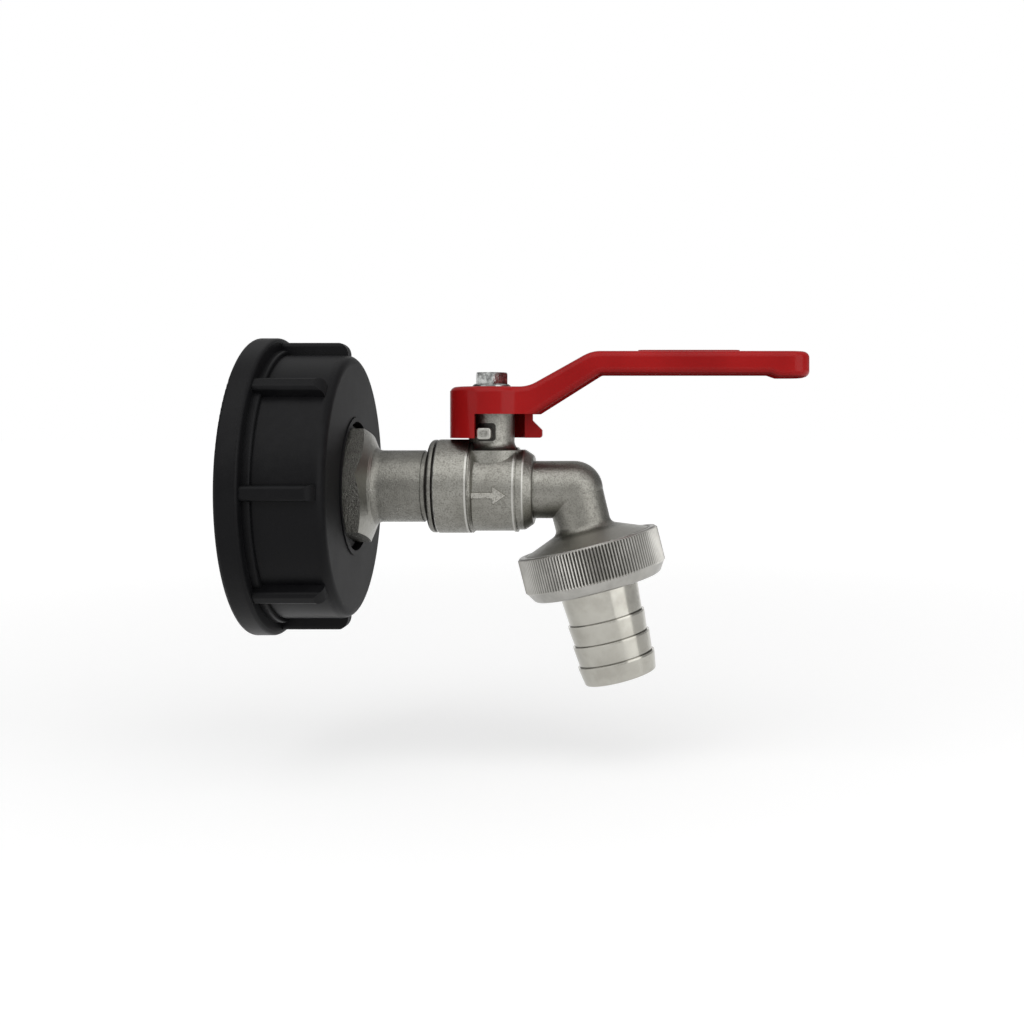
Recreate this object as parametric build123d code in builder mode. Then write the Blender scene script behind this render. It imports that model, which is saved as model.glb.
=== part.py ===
from build123d import *
from math import cos, radians, sin, sqrt
import os

# IBC tank tap: a coarse-thread coupling cap that turns on a flanged bush, a ball valve with an
# elbow spout, a pressed lever, and a hose tail under a knurled union nut.
# Frame: origin on the valve axis at the cap's open mouth, +X the way the liquid flows, +Z up.
# Lengths are in millimetres. "at" marks a place along the axis that the piece is turned about.

# Clearances and cuts
overrun = 5.0
thread_gap = 0.05
running_gap = 0.3
seat_gap = 0.3

# Coupling cap, S60x6
cap_length = 25.5
cap_plate = 4.0
cap_thread_radius = 30.25
cap_thread_start = 0.5
cap_thread_length = 12.3
cap_relief_depth = 0.6
cap_wall = 4.45
cap_flange_height = 4.5
cap_flange_length = 6.0
cap_flange_round = 1.0
cap_step_height = 1.2
cap_step_length = 2.0
cap_front_round = 2.5
cap_hole_gap = 1.18
cap_lip_width = 1.3
cap_lip_height = 0.35
rib_count = 8
rib_height = 3.3
rib_width = 4.0
rib_inset = 1.7
rib_slope = 2.6
rib_round = 1.2

# Flanged bush, its tank gasket and the washer under the hexagon
bush_flange_gap = 3.45
bush_flange_length = 4.6
bush_collar_gap = 0.3
gasket_thickness = 3.0
gasket_inset = 0.4
gasket_inner_gap = 0.3
washer_thickness = 1.9
washer_inset = 0.85

# Inlet connector: thread, hexagon with its cone, pipe, groove, collar and the end in the barrel
hex_across_flats = 28.0
hex_turn = 16.0
hex_recess = 1.5
hex_length = 4.55
hex_land = 0.9
hex_cone_length = 2.16
hex_cone_step = 1.55
hex_blend_length = 1.19
inlet_thread_length = 10.0
inlet_bore_radius = 7.0
pipe_wall = 2.65
pipe_foot_round = 2.3
pipe_length = 12.3
groove_width = 1.2
groove_depth = 0.5
collar_gap = 0.5
collar_length = 1.9
collar_height = 2.1
collar_round = 1.2
joint_line = 0.3
connector_ring_inset = 3.1
connector_ring_section = 1.6

# Ball, its seats and the valve body
ball_radius = 8.2
ball_bore_radius = 5.5
seat_lap = 0.4
seat_depth = 4.2
barrel_to_stem = 14.3
barrel_length = 9.0
barrel_step = 1.5
barrel_wall = 2.2
barrel_round = 0.7
bead_depth = 0.45
bead_width = 0.5
middle_wall = 1.65
middle_drop = 0.95
stem_to_ring = 6.5
ring_length = 2.7
ring_bead_height = 0.3
ring_bead_width = 0.8
ring_step = 0.3
shoulder_length = 2.4
shoulder_step = 1.6
stem_to_elbow = 22.3
flow_radius = 5.75
elbow_wall = 2.0
leg_step = 0.15
leg_taper = 0.1
neck_wall = 3.15
neck_length = 11.4
neck_flare = 2.4
neck_flare_rise = 1.95
neck_foot_edge = 0.15
lug_width = 3.9
lug_height = 3.2
lug_rise = 0.5
lug_offset = 1.0
lug_overhang = 3.35
lug_round = 0.9

# Outlet: the spout's disc and G1 thread, measured along the outlet axis from the nut's top
outlet_tilt = 14.0
outlet_length = 14.43
disc_height = 3.7
disc_overhang = 0.2
disc_edge = 0.4
disc_blend = 2.0
spout_thread_radius = 16.6
spout_thread_length = 5.8
spout_relief_depth = 1.1
spout_relief_length = 1.0
spout_mouth_step = 2.0

# Union nut
nut_wall = 2.55
nut_foot_length = 3.1
nut_foot_bevel = 2.1
nut_foot_round = 1.5
nut_top_bevel = 0.6
nut_mouth_bevel = 0.85
nut_bore_gap = 0.15
nut_lip = 1.5
nut_lip_gap = 0.1
nut_hole_gap = 0.7
knurl_count = 136
knurl_depth = 0.42

# Hose tail and its gasket
tail_gasket_thickness = 1.8
tail_flange_length = 1.9
tail_flange_gap = 1.15
tail_wall = 3.1
tail_root_length = 8.5
barb_count = 3
barb_pitch = 5.65
barb_land = 0.5
barb_height = 0.55
barb_step = 0.15
tail_point_length = 5.2
tail_point_step = 0.8
tail_end_round = 0.6

# Stem, its rings and the thrust washer
stem_radius = 3.0
stem_collar_height = 1.3
stem_collar_length = 1.5
stem_key_width = 2.7
stem_key_depth = 1.8
stem_key_rise = 0.4
key_gap = 0.1
thrust_washer_thickness = 0.7
stem_ring_section = 1.3
stem_ring_inset = 5.0
stem_ring_pitch = 4.0
stem_flat_depth = 0.5
stem_thread_step = 0.55
stem_thread_inset = 0.7

# Lever
lever_gap = 1.0
lever_sheet = 2.2
lever_hub_gap = 2.75
lever_waist_step = 2.6
lever_waist_round = 5.0
lever_flange_depth = 7.3
lever_skirt_gap = 0.4
lever_bend_reach = 10.5
lever_slope_length = 16.8
lever_rise = 9.4
lever_bend_round = 9.0
lever_arm_length = 58.1
lever_arm_depth = 6.1
lever_tip_drop = 0.8
lever_tip_length = 8.5
lever_tip_round = 5.5
lever_edge_round = 1.7
lever_plate_inset = 12.3
lever_plate_length = 27.1
lever_plate_margin = 2.9
lever_plate_height = 0.35
lever_hole_gap = 0.05
stop_gap = 0.3
stop_neck = 1.0
stop_tooth_reach = 3.6
stop_tooth_edge = 2.1
stop_tooth_slope = 3.6
stop_round = 0.8

# Lever nut
lever_nut_across_flats = 8.0
lever_nut_height = 3.9
lever_nut_flange_step = 0.48
lever_nut_flange = 0.8
lever_nut_chamfer = 0.5
lever_nut_turn = 42.5

# Cap, bush and connector sizes that follow
hex_corner_radius = hex_across_flats / sqrt(3)
inlet_thread_radius = hex_across_flats / 2 - hex_land
cap_hole_radius = hex_corner_radius + cap_hole_gap
cap_relief_radius = cap_thread_radius + cap_relief_depth
cap_body_radius = cap_relief_radius + cap_wall
cap_flange_radius = cap_body_radius + cap_flange_height
cap_thread_end = cap_thread_start + cap_thread_length
cap_plate_at = cap_length - cap_plate
rib_end = cap_length - rib_inset
rib_flat_end = rib_end - rib_slope
bush_collar_radius = cap_hole_radius - bush_collar_gap
bush_bore_radius = inlet_thread_radius + thread_gap
bush_flange_radius = cap_thread_radius - bush_flange_gap
bush_front_at = cap_plate_at - running_gap
bush_back_at = bush_front_at - bush_flange_length
gasket_back_at = bush_back_at - gasket_thickness
hex_back_at = cap_length - hex_recess
hex_corner_at = hex_back_at + hex_length
hex_cone_end_at = hex_corner_at + hex_cone_length
washer_back_at = hex_back_at - washer_thickness
inlet_thread_at = hex_back_at - inlet_thread_length
pipe_radius = inlet_bore_radius + pipe_wall
pipe_start_at = hex_cone_end_at + hex_blend_length
groove_start_at = pipe_start_at + pipe_length
groove_end_at = groove_start_at + groove_width
collar_start_at = groove_end_at + collar_gap
joint_at = collar_start_at + collar_length
stem_at = joint_at + barrel_to_stem

# Valve body sizes that follow
ball_cavity_radius = ball_radius + seat_gap
seat_outer_start = stem_at - ball_radius - seat_lap
seat_outer_end = stem_at + ball_radius + seat_lap
middle_radius = ball_cavity_radius + middle_drop + middle_wall
barrel_radius = middle_radius + barrel_step
barrel_end_at = joint_at + barrel_length
connector_thread_radius = barrel_radius - barrel_wall
connector_ring_at = seat_outer_start - connector_ring_inset
collar_radius = connector_thread_radius + collar_height
ring_start_at = stem_at + stem_to_ring
ring_end_at = ring_start_at + ring_length
ring_radius = middle_radius - ring_step
shoulder_end_at = ring_end_at + shoulder_length
shoulder_radius = ring_radius - shoulder_step
elbow_at = stem_at + stem_to_elbow
elbow_radius = flow_radius + elbow_wall
leg_top_radius = elbow_radius - leg_step
leg_radius = leg_top_radius - leg_taper
leg_flow_radius = flow_radius - leg_step
neck_radius = stem_radius + neck_wall
neck_foot_radius = neck_radius + neck_flare + neck_foot_edge
neck_flare_top = middle_radius - middle_drop + neck_flare_rise
neck_top = neck_flare_top + neck_length
lug_bottom = neck_flare_top + lug_rise
lug_reach = neck_radius + lug_overhang

# Outlet, nut and tail sizes that follow, from the nut's top downwards
disc_radius = spout_thread_radius + disc_overhang
spout_relief_end = disc_edge + spout_relief_length
spout_end = spout_relief_end + spout_thread_length
spout_mouth_radius = leg_flow_radius + spout_mouth_step
tail_flange_top = spout_end + tail_gasket_thickness
tail_flange_bottom = tail_flange_top + tail_flange_length
nut_length = tail_flange_bottom + nut_lip_gap + nut_lip
nut_knurl_end = nut_length - nut_foot_length
nut_bore_radius = spout_thread_radius + nut_bore_gap
nut_mouth_radius = nut_bore_radius + nut_mouth_bevel
nut_radius = nut_bore_radius + nut_wall
nut_top_radius = nut_radius - nut_top_bevel
nut_foot_radius = nut_radius - nut_foot_bevel
tail_flange_radius = nut_bore_radius - tail_flange_gap
tail_bore_radius = spout_mouth_radius
tail_root_radius = tail_bore_radius + tail_wall
barb_radius = tail_root_radius - barb_step
tail_waist_radius = barb_radius - barb_height
tail_end_radius = barb_radius - tail_point_step
barb_first = nut_length + tail_root_length
tail_end = barb_first + (barb_count - 1) * barb_pitch + tail_point_length

# Stem and lever sizes that follow
stem_key_bottom = ball_radius - stem_key_depth
stem_key_top = ball_radius + stem_key_rise
stem_collar_radius = stem_radius + stem_collar_height
stem_collar_top = stem_key_top + stem_collar_length
stem_shoulder = stem_collar_top + running_gap + thrust_washer_thickness
stem_ring_high = neck_top - stem_ring_inset
stem_ring_low = stem_ring_high - stem_ring_pitch
stem_flats = 2 * (stem_radius - stem_flat_depth)
stem_thread_radius = stem_radius - stem_thread_step
lever_under = neck_top + lever_gap
lever_top = lever_under + lever_sheet
arm_top = lever_top + lever_rise
stem_thread_end = lever_top + lever_nut_height - stem_thread_inset
lever_hub_radius = neck_radius + lever_hub_gap + lever_sheet
lever_half_width = lever_hub_radius - lever_waist_step
lever_skirt_bottom = barrel_radius + lever_skirt_gap
lever_bend_at = stem_at + lever_bend_reach
lever_bend_end = lever_bend_at + lever_slope_length
lever_tip_at = lever_bend_end + lever_arm_length
lever_plate_middle = lever_bend_end + lever_plate_inset + lever_plate_length / 2

# Axes and planes
outlet_sin, outlet_cos = sin(radians(outlet_tilt)), cos(radians(outlet_tilt))
elbow_corner = Vector(elbow_at, 0, -middle_drop)
outlet_way = Vector(outlet_sin, 0, -outlet_cos)
outlet_top = elbow_corner + outlet_way * outlet_length
outlet_plane = Plane(outlet_top, x_dir=(outlet_cos, 0, outlet_sin), z_dir=(0, 1, 0))
outlet_axis = Axis(outlet_top, outlet_way)
drop_axis = Axis((0, 0, -middle_drop), (1, 0, 0))
stem_axis = Axis((stem_at, 0, 0), (0, 0, 1))
stem_plane = Plane((stem_at, 0, 0), x_dir=(1, 0, 0), z_dir=(0, -1, 0))


def outline(points, plane=Plane.XY, rounds=None):
    """A closed face through the points, with the corners in rounds (index: radius) rounded."""
    with BuildSketch(plane) as profile:
        with BuildLine():
            Polyline(*points, close=True)
        make_face()
        for corner, radius in (rounds or {}).items():
            near = profile.vertices().sort_by_distance(Vector(*points[corner]))[0]
            fillet(near, radius)
    return profile.sketch


def hexagon(plane, across_flats, turn=0.0):
    """A regular hexagon across its flats, turned in its plane."""
    with BuildSketch(plane) as profile:
        RegularPolygon(across_flats / 2, 6, major_radius=False, rotation=turn)
    return profile.sketch


def domed_bar(start_at, radius):
    """Half the section of a round bar on the lowered axis that ends in a half ball at the elbow."""
    with BuildSketch(Plane.XZ) as profile:
        with BuildLine():
            Polyline(
                (elbow_at + radius, -middle_drop),
                (start_at, -middle_drop),
                (start_at, radius - middle_drop),
                (elbow_at, radius - middle_drop),
            )
            CenterArc((elbow_at, -middle_drop), radius, 0, 90)
        make_face()
    return profile.sketch


def finish(piece, name):
    """Names the piece and writes it."""
    piece.part.label = name
    export_step(piece.part, f"parts/{name}.step")


os.makedirs("parts", exist_ok=True)

# Coupling cap: one rib first, then the turned cap with its ribs
rib_tip = cap_body_radius + rib_height
rib_foot = cap_body_radius - cap_front_round
with BuildPart() as rib:
    with BuildSketch(Plane.XZ):
        with BuildLine():
            Polyline(
                (cap_flange_length, rib_foot),
                (cap_flange_length, rib_tip),
                (rib_flat_end, rib_tip),
            )
            RadiusArc((rib_flat_end, rib_tip), (rib_end, cap_body_radius), rib_height)
            Polyline(
                (rib_end, cap_body_radius),
                (rib_end, rib_foot),
                (cap_flange_length, rib_foot),
            )
        make_face()
    extrude(amount=rib_width / 2, both=True)
    tip_edges = rib.edges().filter_by(Axis.X).group_by(Axis.Z)[-1]
    fillet(tip_edges, rib_round)

cap_step_end = cap_flange_length + cap_step_length
with BuildPart() as coupling_cap:
    revolve(
        outline(
            [
                (0, cap_thread_radius + cap_thread_start),
                (0, cap_flange_radius),
                (cap_flange_length, cap_flange_radius),
                (cap_flange_length, cap_body_radius + cap_step_height),
                (cap_step_end, cap_body_radius + cap_step_height),
                (cap_step_end, cap_body_radius),
                (cap_length, cap_body_radius),
                (cap_length, cap_hole_radius + cap_lip_width),
                (cap_length + cap_lip_height, cap_hole_radius + cap_lip_width),
                (cap_length + cap_lip_height, cap_hole_radius),
                (cap_plate_at, cap_hole_radius),
                (cap_plate_at, cap_relief_radius),
                (cap_thread_end, cap_relief_radius),
                (cap_thread_end, cap_thread_radius),
                (cap_thread_start, cap_thread_radius),
            ],
            rounds={
                1: cap_flange_round,
                2: cap_flange_round,
                4: cap_step_height / 2,
                6: cap_front_round,
                11: cap_step_height,
            },
        ),
        axis=Axis.X,
    )
    for turn in range(rib_count):
        add(rib.part.rotate(Axis.X, turn * 360 / rib_count))
finish(coupling_cap, "coupling_cap")

# Flanged bush that the cap turns on
with BuildPart() as adapter_bush:
    revolve(
        outline(
            [
                (gasket_back_at, bush_bore_radius),
                (gasket_back_at, bush_collar_radius),
                (bush_back_at, bush_collar_radius),
                (bush_back_at, bush_flange_radius),
                (bush_front_at, bush_flange_radius),
                (bush_front_at, bush_collar_radius),
                (washer_back_at, bush_collar_radius),
                (washer_back_at, bush_bore_radius),
            ],
            rounds={4: cap_flange_round},
        ),
        axis=Axis.X,
    )
finish(adapter_bush, "adapter_bush")

# Flat gasket that the tank's outlet presses on
with BuildPart() as tank_gasket:
    with BuildSketch(Plane.YZ.offset(gasket_back_at)):
        Circle(bush_flange_radius - gasket_inset)
        Circle(bush_collar_radius + gasket_inner_gap, mode=Mode.SUBTRACT)
    extrude(amount=gasket_thickness)
finish(tank_gasket, "tank_gasket")

# Sealing washer between the bush and the hexagon
with BuildPart() as hex_washer:
    with BuildSketch(Plane.YZ.offset(washer_back_at)):
        Circle(cap_hole_radius - washer_inset)
        Circle(bush_bore_radius, mode=Mode.SUBTRACT)
    extrude(amount=washer_thickness)
finish(hex_washer, "hex_washer")

# Inlet connector: thread, hexagon, pipe and the threaded end that holds the seat
ring_floor = connector_thread_radius - connector_ring_section
with BuildPart() as inlet_connector:
    extrude(hexagon(Plane.YZ.offset(hex_back_at), hex_across_flats, 30 + hex_turn), amount=hex_corner_radius)
    revolve(
        outline(
            [
                (hex_back_at, 0),
                (hex_back_at, hex_corner_radius),
                (hex_corner_at, hex_corner_radius),
                (hex_cone_end_at, pipe_radius + hex_cone_step),
                (hex_cone_end_at, 0),
            ]
        ),
        axis=Axis.X,
        mode=Mode.INTERSECT,
    )
    revolve(
        outline(
            [
                (inlet_thread_at, 0),
                (inlet_thread_at, inlet_thread_radius),
                (hex_back_at + joint_line, inlet_thread_radius),
                (hex_cone_end_at, pipe_radius + hex_cone_step),
                (pipe_start_at, pipe_radius),
                (groove_start_at, pipe_radius),
                (groove_start_at, pipe_radius - groove_depth),
                (groove_end_at, pipe_radius - groove_depth),
                (groove_end_at, pipe_radius),
                (collar_start_at, pipe_radius),
                (collar_start_at, collar_radius),
                (joint_at - joint_line, collar_radius),
                (joint_at - joint_line, connector_thread_radius),
                (connector_ring_at, connector_thread_radius),
                (connector_ring_at, ring_floor),
                (connector_ring_at + connector_ring_section, ring_floor),
                (connector_ring_at + connector_ring_section, connector_thread_radius),
                (seat_outer_start, connector_thread_radius),
                (seat_outer_start, 0),
            ],
            rounds={4: pipe_foot_round, 10: collar_round},
        ),
        axis=Axis.X,
    )
    with BuildSketch(Plane.YZ.offset(inlet_thread_at - overrun)):
        Circle(inlet_bore_radius)
    extrude(amount=seat_outer_start - inlet_thread_at + 2 * overrun, mode=Mode.SUBTRACT)
finish(inlet_connector, "inlet_connector")

# O-ring in the connector's groove
connector_ring_middle = connector_ring_at + connector_ring_section / 2
with BuildPart() as connector_o_ring:
    with BuildSketch(Plane.XY):
        with Locations((connector_ring_middle, connector_thread_radius - connector_ring_section / 2)):
            Circle(connector_ring_section / 2)
    revolve(axis=Axis.X)
finish(connector_o_ring, "connector_o_ring")

# Ball with its bore and the slot for the stem's key
ball_slot_floor = stem_key_bottom - key_gap
with BuildPart() as ball:
    with Locations((stem_at, 0, 0)):
        Sphere(ball_radius)
    with BuildSketch(Plane.YZ.offset(stem_at)):
        Circle(ball_bore_radius)
    extrude(amount=ball_radius + overrun, both=True, mode=Mode.SUBTRACT)
    with BuildSketch(Plane.XY.offset(ball_slot_floor)):
        with Locations((stem_at, 0)):
            Rectangle(stem_key_width + 2 * key_gap, 2 * (ball_radius + overrun))
    extrude(amount=ball_radius, mode=Mode.SUBTRACT)
finish(ball, "ball")

# Seats: rings each side of the ball, hollowed to clear it
with BuildPart() as inlet_seat:
    with BuildSketch(Plane.YZ.offset(seat_outer_start)):
        Circle(ball_cavity_radius)
        Circle(ball_bore_radius, mode=Mode.SUBTRACT)
    extrude(amount=seat_depth)
    with Locations((stem_at, 0, 0)):
        Sphere(ball_cavity_radius, mode=Mode.SUBTRACT)
finish(inlet_seat, "inlet_seat")

with BuildPart() as outlet_seat:
    mirror(inlet_seat.part, about=Plane.YZ.offset(stem_at))
finish(outlet_seat, "outlet_seat")

# Valve body: barrel, lowered middle part, end ring, elbow, spout, neck and stop lug
with BuildPart() as lug:
    with BuildSketch(Plane.XZ.offset(neck_radius - lug_round)):
        with Locations((stem_at - lug_offset, lug_bottom + lug_height / 2)):
            RectangleRounded(lug_width, lug_height, lug_round)
    extrude(amount=lug_reach - neck_radius + lug_round)
    fillet(lug.faces().sort_by(Axis.Y)[0].edges(), lug_round / 2)

bead_end = barrel_end_at + 2 * bead_width
with BuildPart() as valve_body:
    revolve(
        outline(
            [
                (joint_at, 0),
                (joint_at, barrel_radius),
                (barrel_end_at, barrel_radius),
                (barrel_end_at, barrel_radius - bead_depth),
                (barrel_end_at + bead_width, barrel_radius - bead_depth),
                (barrel_end_at + bead_width, barrel_radius),
                (bead_end, barrel_radius - bead_depth),
                (bead_end + bead_width, middle_radius),
                (bead_end + bead_width, 0),
            ],
            rounds={1: barrel_round},
        ),
        axis=Axis.X,
    )
    revolve(
        outline(
            [
                (barrel_end_at, -middle_drop),
                (barrel_end_at, middle_radius - middle_drop),
                (ring_start_at, middle_radius - middle_drop),
                (ring_start_at, middle_radius + ring_bead_height - middle_drop),
                (ring_start_at + ring_bead_width, middle_radius + ring_bead_height - middle_drop),
                (ring_start_at + ring_bead_width, ring_radius - middle_drop),
                (ring_end_at, ring_radius - middle_drop),
                (shoulder_end_at, shoulder_radius - middle_drop),
                (shoulder_end_at, -middle_drop),
            ],
            plane=Plane.XZ,
            rounds={6: ring_bead_width, 7: ring_bead_width},
        ),
        axis=drop_axis,
    )
    revolve(domed_bar(ring_start_at, elbow_radius), axis=drop_axis)
    revolve(
        outline(
            [
                (0, -outlet_length),
                (leg_top_radius, -outlet_length),
                (leg_radius, -disc_height),
                (disc_radius, 0),
                (disc_radius, disc_edge),
                (spout_thread_radius - spout_relief_depth, disc_edge),
                (spout_thread_radius - spout_relief_depth, spout_relief_end),
                (spout_thread_radius, spout_relief_end),
                (spout_thread_radius, spout_end),
                (0, spout_end),
            ],
            plane=outlet_plane,
            rounds={2: disc_blend},
        ),
        axis=outlet_axis,
    )
    revolve(
        outline(
            [
                (0, 0),
                (neck_foot_radius, 0),
                (neck_foot_radius, neck_flare_top - neck_flare),
                (neck_radius, neck_flare_top - neck_flare),
                (neck_radius, neck_top),
                (0, neck_top),
            ],
            plane=stem_plane,
            rounds={3: neck_flare},
        ),
        axis=stem_axis,
    )
    add(lug.part)
    revolve(
        outline(
            [
                (joint_at - overrun, 0),
                (joint_at - overrun, connector_thread_radius + thread_gap),
                (seat_outer_start + seat_gap, connector_thread_radius + thread_gap),
                (seat_outer_start + seat_gap, ball_cavity_radius),
                (seat_outer_end, ball_cavity_radius),
                (seat_outer_end, 0),
            ]
        ),
        axis=Axis.X,
        mode=Mode.SUBTRACT,
    )
    with BuildSketch(Plane.YZ.offset(seat_outer_end - seat_gap)):
        Circle(ball_bore_radius)
    extrude(amount=shoulder_end_at - seat_outer_end, mode=Mode.SUBTRACT)
    revolve(domed_bar(seat_outer_end - seat_gap, flow_radius), axis=drop_axis, mode=Mode.SUBTRACT)
    revolve(
        outline(
            [
                (0, -outlet_length),
                (leg_flow_radius, -outlet_length),
                (leg_flow_radius, -disc_height),
                (spout_mouth_radius, 0),
                (spout_mouth_radius, spout_end + overrun),
                (0, spout_end + overrun),
            ],
            plane=outlet_plane,
        ),
        axis=outlet_axis,
        mode=Mode.SUBTRACT,
    )
    revolve(
        outline(
            [
                (0, 0),
                (stem_collar_radius + seat_gap / 2, 0),
                (stem_collar_radius + seat_gap / 2, stem_shoulder),
                (stem_radius + thread_gap, stem_shoulder),
                (stem_radius + thread_gap, neck_top + overrun),
                (0, neck_top + overrun),
            ],
            plane=stem_plane,
        ),
        axis=stem_axis,
        mode=Mode.SUBTRACT,
    )
finish(valve_body, "valve_body")

# Union nut: a knurled prism held to its turned outline
with BuildPart() as union_nut:
    with BuildSketch(Plane(outlet_top, x_dir=(outlet_cos, 0, outlet_sin), z_dir=outlet_way)):
        with BuildLine():
            Polyline(
                *[
                    (
                        (nut_radius - knurl_depth * (step % 2)) * cos(radians(step * 180 / knurl_count)),
                        (nut_radius - knurl_depth * (step % 2)) * sin(radians(step * 180 / knurl_count)),
                    )
                    for step in range(2 * knurl_count)
                ],
                close=True,
            )
        make_face()
    extrude(amount=nut_length)
    revolve(
        outline(
            [
                (nut_mouth_radius, 0),
                (nut_top_radius, 0),
                (nut_radius, nut_radius - nut_top_radius),
                (nut_radius, nut_knurl_end),
                (nut_radius - knurl_depth, nut_knurl_end + knurl_depth),
                (nut_foot_radius, nut_length),
                (tail_root_radius + nut_hole_gap, nut_length),
                (tail_root_radius + nut_hole_gap, nut_length - nut_lip),
                (nut_bore_radius, nut_length - nut_lip),
                (nut_bore_radius, nut_mouth_radius - nut_bore_radius),
            ],
            plane=outlet_plane,
            rounds={5: nut_foot_round},
        ),
        axis=outlet_axis,
        mode=Mode.INTERSECT,
    )
finish(union_nut, "union_nut")

# Gasket between the spout's end and the tail's flange
with BuildPart() as tail_gasket:
    revolve(
        outline(
            [
                (spout_mouth_radius, spout_end),
                (tail_flange_radius, spout_end),
                (tail_flange_radius, tail_flange_top),
                (spout_mouth_radius, tail_flange_top),
            ],
            plane=outlet_plane,
        ),
        axis=outlet_axis,
    )
finish(tail_gasket, "tail_gasket")

# Hose tail with three barbs, each a land at its ridge and a slope down to the next
barb_points = [(tail_waist_radius, barb_first)]
for barb in range(barb_count):
    ridge = barb_first + barb * barb_pitch
    last = barb == barb_count - 1
    foot_at = tail_end if last else ridge + barb_pitch
    foot_radius = tail_end_radius if last else tail_waist_radius
    barb_points += [
        (barb_radius, ridge),
        (barb_radius, ridge + barb_land),
        (foot_radius, foot_at),
    ]
with BuildPart() as hose_tail:
    revolve(
        outline(
            [
                (tail_bore_radius, tail_flange_top),
                (tail_flange_radius, tail_flange_top),
                (tail_flange_radius, tail_flange_bottom),
                (tail_root_radius, tail_flange_bottom),
                (tail_root_radius, nut_length),
                *barb_points,
                (tail_bore_radius, tail_end),
            ],
            plane=outlet_plane,
            rounds={5 + 3 * barb_count: tail_end_round},
        ),
        axis=outlet_axis,
    )
finish(hose_tail, "hose_tail")

# Stem: key, collar, shaft with two ring grooves, flats for the lever and the thread
ring_radius_mid = stem_radius - stem_ring_section / 2
groove_floor = stem_radius - stem_ring_section
groove_points = []
for groove_middle in (stem_ring_low, stem_ring_high):
    groove_points += [
        (stem_radius, groove_middle - stem_ring_section / 2),
        (groove_floor, groove_middle - stem_ring_section / 2),
        (groove_floor, groove_middle + stem_ring_section / 2),
        (stem_radius, groove_middle + stem_ring_section / 2),
    ]
with BuildPart() as stem:
    with BuildSketch(Plane.XY.offset(lever_under - lever_hole_gap)):
        with Locations((stem_at, 0)):
            Circle(stem_radius)
            Rectangle(stem_flats, 2 * stem_radius, mode=Mode.INTERSECT)
    extrude(amount=lever_sheet)
    revolve(
        outline(
            [
                (0, stem_key_top),
                (stem_collar_radius, stem_key_top),
                (stem_collar_radius, stem_collar_top),
                (stem_radius, stem_collar_top),
                *groove_points,
                (stem_radius, lever_under - lever_hole_gap),
                (stem_thread_radius, lever_under - lever_hole_gap),
                (stem_thread_radius, stem_thread_end),
                (0, stem_thread_end),
            ],
            plane=stem_plane,
        ),
        axis=stem_axis,
    )
    with BuildSketch(Plane.XY.offset(stem_key_bottom)):
        with Locations((stem_at, 0)):
            Circle(stem_collar_radius)
            Rectangle(stem_key_width, 2 * stem_collar_radius, mode=Mode.INTERSECT)
    extrude(amount=stem_key_top - stem_key_bottom)
finish(stem, "stem")

# Stem O-rings
for ring_name, ring_height in (("stem_o_ring_lower", stem_ring_low), ("stem_o_ring_upper", stem_ring_high)):
    with BuildPart() as stem_o_ring:
        with BuildSketch(stem_plane):
            with Locations((ring_radius_mid, ring_height)):
                Circle(stem_ring_section / 2)
        revolve(axis=stem_axis)
    finish(stem_o_ring, ring_name)

# Thrust washer above the stem's collar
with BuildPart() as thrust_washer:
    with BuildSketch(Plane.XY.offset(stem_shoulder - thrust_washer_thickness)):
        with Locations((stem_at, 0)):
            Circle(stem_collar_radius)
            Circle(stem_radius + thread_gap, mode=Mode.SUBTRACT)
    extrude(amount=thrust_washer_thickness)
finish(thrust_washer, "thrust_washer")


def lever_plan(inset):
    """The lever seen from above, drawn inwards by inset: a round hub with a straight arm."""
    arm_length = lever_tip_at - inset - stem_at
    with BuildSketch(Plane.XY) as plan:
        with Locations((stem_at, 0)):
            Circle(lever_hub_radius - inset)
        with Locations((stem_at + arm_length / 2, 0)):
            Rectangle(arm_length, 2 * (lever_half_width - inset))
        fillet(plan.vertices().group_by(Axis.X)[-1], lever_tip_round - inset)
        waist = plan.vertices().filter_by_position(Axis.X, stem_at + lever_sheet, lever_bend_at)
        fillet(waist, lever_waist_round + inset)
    return plan.sketch


def lever_side(inset, bottom_points):
    """The lever seen from the side, its top drawn inwards by inset, down to the points given."""
    return outline(
        [
            (lever_back, lever_top - inset),
            (lever_bend_at, lever_top - inset),
            (lever_bend_end, arm_top - inset),
            (lever_tip_at + overrun, arm_top - inset),
            *bottom_points,
        ],
        plane=Plane.XZ,
        rounds={1: lever_bend_round + inset, 2: lever_bend_round - inset},
    )


# Lever: a channel with a deep skirt round the hub, open at the side that meets the stop lug
window_bottom = lever_top - lever_flange_depth
lever_back = stem_at - lever_hub_radius - overrun
tip_start = lever_tip_at - lever_tip_length
tab_edge = stem_at - lug_offset - lug_width / 2 - stop_gap
stop_from = lug_width / 2 - lug_offset + stop_gap
hub_inner_radius = lever_hub_radius - lever_sheet
stop_notch_at = stem_at + hub_inner_radius + stop_neck
stop_tooth_top = lever_skirt_bottom + stop_tooth_edge
stop_end_at = stop_notch_at + stop_tooth_reach
skirt_top = lever_under + lever_sheet / 2

with BuildPart() as channel_hollow:
    extrude(lever_plan(lever_sheet), amount=arm_top)
    extrude(
        lever_side(lever_sheet, [(lever_tip_at + overrun, 0), (lever_back, 0)]),
        amount=lever_hub_radius,
        both=True,
        mode=Mode.INTERSECT,
    )

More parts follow.
